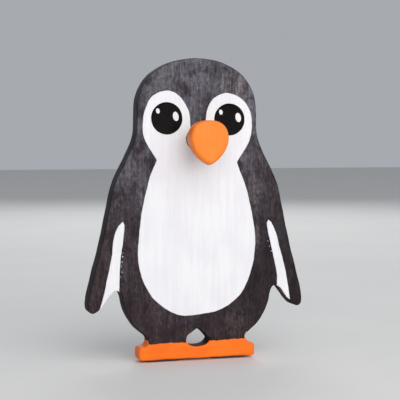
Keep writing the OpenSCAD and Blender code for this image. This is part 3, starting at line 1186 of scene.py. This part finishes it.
class STAND_OT_feet(bpy.types.Operator):
    """Paint the feet all round, up to a brushed line"""

    bl_idname = "stand.feet"
    bl_label = "Feet"

    def execute(self, context):
        paint = context.scene.display_stand.paint
        bm = bmesh.new()
        bm.from_mesh(bpy.data.objects["sawn_board"].data)
        self.cut(bm, (0, 0, FOOT_LINE + 3 * MM), (0, 0, 1), clear=True)
        for down in (-2, -1.3, -0.7, 0, 0.7, 1.5, 3.0, 5.0, 7.0):
            self.cut(bm, (0, 0, FOOT_LINE - down * MM), (0, 0, 1))
        wrap = 0.6 * MM
        depths = [FRONT_Y + wrap, BACK_Y - wrap, *np.linspace(FRONT_Y + 1.7 * MM, BACK_Y - 1.7 * MM, 7)]
        for y in depths:
            self.cut(bm, (0, y, 0), (0, 1, 0))
        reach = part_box("feet_coat")[1].x
        columns = 150
        for k in range(1, columns):
            self.cut(bm, (reach * (2 * k / columns - 1), 0, 0), (1, 0, 0))
        bmesh.ops.remove_doubles(bm, verts=bm.verts, dist=4e-6)
        rng = random.Random(51)
        phases = [rng.random() * 2 * math.pi for _ in range(8)]
        for v in bm.verts:
            v.co.z -= self.paint_line(v.co, phases)
        self.cut(bm, (0, 0, 0), (0, 0, 1), clear=True)
        for v in bm.verts:
            v.co.z += self.paint_line(v.co, phases)
        inside_arch = [f for f in bm.faces if self.is_arch_wall(f, wrap)]
        bmesh.ops.delete(bm, geom=inside_arch, context="FACES")
        bm.normal_update()
        piece = self.shell(bm)
        bm.free()
        tint = tinted(paint.feet_orange, 0.94, 0.84, 0.7)
        material = brushed_paint(
            "feet_orange_paint", paint.feet_orange, tint, (90, 500, 700), shine=0.22, rough=0.48,
            relief=0.00008, seed_shift=0.21,
        )
        fit(piece, material, "orange_paint", "feet_coat")
        return {"FINISHED"}

    def cut(self, bm, at, across_it, clear=False):
        geometry = [*bm.verts, *bm.edges, *bm.faces]
        bmesh.ops.bisect_plane(bm, geom=geometry, plane_co=at, plane_no=across_it, clear_outer=clear)

    def is_arch_wall(self, face, wrap):
        """The arch's own wall was left in stain, apart from a thin wrap at its arrises."""
        at = face.calc_center_median()
        within = FRONT_Y + wrap < at.y < BACK_Y - wrap
        return within and abs(at.x) < ARCH_HALF_WIDTH and at.z > ARCH_FOOT

    def paint_line(self, place, phases):
        """Height of the painted line at a place."""
        x, y = place.x / MM, place.y / MM
        front = FRONT_Y / MM
        left_foot = min(max((4 - x) / 8, 0), 1)
        slow = 0.16 * math.sin(x / 6.5 + phases[1]) + 0.10 * math.sin(x / 2.9 + phases[2])
        quick = 0.09 * math.sin(x / 0.9 + phases[3]) + 0.07 * math.sin(x / 0.47 + phases[4])
        around = 0.2 * math.sin(y / 2.2 + phases[5])
        side = min(max((y - front - 0.3) / 0.9, 0), 1)
        ankle = 1.0 * side * (1 if x < -24 else 0.3 if x > 24 else 0)
        return FOOT_LINE + (slow + quick + around * side + ankle - 0.2 - 0.55 * left_foot * (1 - side)) * MM

    def shell(self, bm):
        """The cut surface as a thin closed film."""
        thick, thin = 0.15 * MM, 0.04 * MM
        outer, inner = [], []
        for v in bm.verts:
            at_edge = any(e.is_boundary for e in v.link_edges)
            outer.append(v.co + v.normal * (thin if at_edge else thick))
            inner.append(v.co - v.normal * FILM_SINK)
        count = len(outer)
        bm.verts.index_update()
        faces = [tuple(v.index for v in f.verts) for f in bm.faces]
        back = [tuple(count + i for i in reversed(face)) for face in faces]
        rim = [
            (e.verts[0].index, e.verts[1].index, count + e.verts[1].index, count + e.verts[0].index)
            for e in bm.edges if e.is_boundary
        ]
        return solid("painted_feet", [tuple(p) for p in outer + inner], faces + back + rim, sharp=60)


class STAND_OT_touch_ups(bpy.types.Operator):
    """Add the black touch-up dabs beside each stripe, and white specks that are painted glints on them"""

    bl_idname = "stand.touch_ups"
    bl_label = "Touch-up dabs"

    def execute(self, context):
        settings = context.scene.display_stand
        small, paint = settings.small, settings.paint
        tree = dab_tree("touch_up_dabs", gloss_black("touch_up_black", paint))
        values = {"Dab size": small.dab_size, "Spacing": small.dab_spacing, "Scatter": 0.12 * MM}
        rows = (("left", -1, (40, 61), 3), ("right", 1, (54, 63), 8))
        self.strew("touch_up_dabs_", tree, values, rows, 0.12 * MM, "black_paint")
        # Painted highlights: white specks that stand in for glints on the glossy black dabs
        tree = dab_tree("stray_specks", white_paint("white_painted_glints", paint, 0.4))
        values = {"Dab size": small.glint_speck_size, "Spacing": 2.4 * small.dab_spacing, "Scatter": 0.3 * MM}
        rows = (("left", -1, (45, 58), 5), ("right", 1, (56, 62), 6))
        self.strew("stray_specks_", tree, values, rows, 0.75 * MM, "white_paint")
        return {"FINISHED"}

    def strew(self, prefix, tree, values, rows, gap, slot):
        """Grows one row of dabs at each stripe. A row is (side, its sign, its heights, its seed)."""
        for side, sign, span, seed in rows:
            carrier = edge_path("path", self.inner_edge("wing_stripe_" + side, sign, span, gap))
            fit(grown(carrier, prefix + side, tree, {**values, "Seed": seed}), None, slot)

    def inner_edge(self, node, sign, span, gap):
        """Points beside a stripe's inner edge, between two heights in millimetres."""
        even = resampled(islands(node)[0], 0.4 * MM)
        beside = even - inward(even) * gap
        middle_x = even[:, 0].mean()
        low, high = span
        toward_middle = inward(even)[:, 0] * sign > 0.5  # the edge whose material lies away from the body
        within = (even[:, 1] > low * MM) & (even[:, 1] < high * MM)
        if sign * middle_x < 0:
            raise RuntimeError(node + " is on the wrong side of the figure")
        return beside[toward_middle & within]


def edge_path(name, flat):
    """A chain of edges through points in X and Z, just proud of the board's front."""
    mesh = bpy.data.meshes.new(name)
    points = [(x, FRONT_Y - 0.05 * MM, z) for x, z in sorted(flat.tolist(), key=lambda p: p[1])]
    mesh.from_pydata(points, [(i, i + 1) for i in range(len(points) - 1)], [])
    return placed(name, mesh)


class STAND_OT_pads(bpy.types.Operator):
    """Build the felt pads under the feet and the prop"""

    bl_idname = "stand.pads"
    bl_label = "Felt pads"

    def execute(self, context):
        small = context.scene.display_stand.small
        tree = felt_tree(pressed_felt(small))
        for seed, node in enumerate(("foot_pad_left", "foot_pad_right", "tail_pad"), start=61):
            low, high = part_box(node)
            outline = resampled(face_outlines(node, UNDER, (0, 1))[0], OUTLINE_STEP, corner=60)
            inset = outline + inward(outline) * 0.25 * MM
            radii = [np.full(len(inset), 0.3 * MM)]
            rings = slab_rings(low.z, high.z, steps=3)
            pad = lofted("pad", [inset], radii, rings, upwards)
            values = {"Density": small.fibre_density, "Fibre length": small.fibre_length, "Seed": seed}
            felt = grown(pad, "felt_" + node, tree, values)
            self.press_flat(felt, low.z, high.z)
            fit(felt, None, "felt", node)
        return {"FINISHED"}

    def press_flat(self, felt, low, high):
        """Holds the fibres between the surface below and the wood above."""
        for vertex in felt.data.vertices:
            vertex.co.z = min(max(vertex.co.z, low), high)


class STAND_OT_stage(bpy.types.Operator):
    """Lay the floor, hang the lights and place the camera"""

    bl_idname = "stand.stage"
    bl_label = "Stage"

    def execute(self, context):
        stage = context.scene.display_stand.stage
        self.floor(stage)
        self.backdrop(stage)
        target = Vector((0, 0, 0.55 * FIGURE_TOP))
        for name, place, size, watts, colour in LIGHTS:
            soft_light(name, place, target, size, watts, colour)
        self.camera(stage)
        bpy.context.scene.view_settings.view_transform = "Standard"
        return {"FINISHED"}

    def floor(self, stage):
        half = 4.0
        mesh = bpy.data.meshes.new("floor")
        corners = [(x * half, y * half, 0) for x, y in ((-1, -1), (1, -1), (1, 1), (-1, 1))]
        mesh.from_pydata(corners, [], [(0, 1, 2, 3)])
        floor = placed("floor", mesh)

        def build(tree):
            cloud = noise(tree, (9, 9, 9), detail=3)
            darker = tinted(stage.floor, 0.97)
            return blend(tree, remap(tree, cloud, 0.3, 0.7), darker, stage.floor), 0.75, cloud, 0.0001

        mesh.materials.append(surface("plain_floor", build, shine=0.2))

    def backdrop(self, stage):
        world = bpy.data.worlds.new("even_grey")
        world.use_nodes = True
        background = world.node_tree.nodes["Background"]
        background.inputs["Color"].default_value = (*stage.backdrop, 1)
        background.inputs["Strength"].default_value = 1.0
        bpy.context.scene.world = world

    def camera(self, stage):
        data = bpy.data.cameras.new("camera")
        data.sensor_width = 36
        data.lens = stage.lens
        data.clip_start = 0.01
        camera = placed("camera", data)
        place = Vector((math.sin(stage.azimuth), -math.cos(stage.azimuth), 0)) * stage.distance
        camera.location = place + Vector((0, FRONT_Y, stage.height))
        sight = Vector((
            -math.sin(stage.heading) * math.cos(stage.pitch),
            math.cos(stage.heading) * math.cos(stage.pitch),
            -math.sin(stage.pitch),
        ))
        camera.rotation_euler = sight.to_track_quat("-Z", "Y").to_euler()
        bpy.context.scene.camera = camera


def soft_light(name, place, target, size, watts, colour):
    data = bpy.data.lights.new(name, "AREA")
    data.shape = "DISK"
    data.size = size
    data.energy = watts
    data.color = colour
    light = placed(name, data)
    light.location = place
    light.rotation_euler = (target - Vector(place)).to_track_quat("-Z", "Y").to_euler()


# ---------------------------------------------------------------------------------------------
# Panel and registration

OPERATORS = (
    STAND_OT_board, STAND_OT_prop, STAND_OT_beak, STAND_OT_rods, STAND_OT_white_coats, STAND_OT_eyes,
    STAND_OT_feet, STAND_OT_touch_ups, STAND_OT_pads, STAND_OT_stage,
)


class STAND_PT_panel(bpy.types.Panel):
    """Lists the settings and the operators in building order"""

    bl_label = "Display Stand"
    bl_idname = "STAND_PT_panel"
    bl_space_type = "VIEW_3D"
    bl_region_type = "UI"
    bl_category = "Display Stand"

    def draw(self, context):
        settings = context.scene.display_stand
        for name, group in SETTINGS.items():
            box = self.layout.box()
            box.label(text=name.capitalize())
            for key in group.__annotations__:
                box.prop(getattr(settings, name), key)
        for operator in OPERATORS:
            self.layout.operator(operator.bl_idname)


CLASSES = (*SETTINGS.values(), StandSettings, *OPERATORS, STAND_PT_panel)


def register():
    for item in CLASSES:
        bpy.utils.register_class(item)
    bpy.types.Scene.display_stand = PointerProperty(type=StandSettings)


def unregister():
    del bpy.types.Scene.display_stand
    for item in reversed(CLASSES):
        bpy.utils.unregister_class(item)


def main():
    """Builds everything in order."""
    register()
    for operator in OPERATORS:
        group, name = operator.bl_idname.split(".")
        getattr(getattr(bpy.ops, group), name)()


if __name__ == "__main__":
    main()
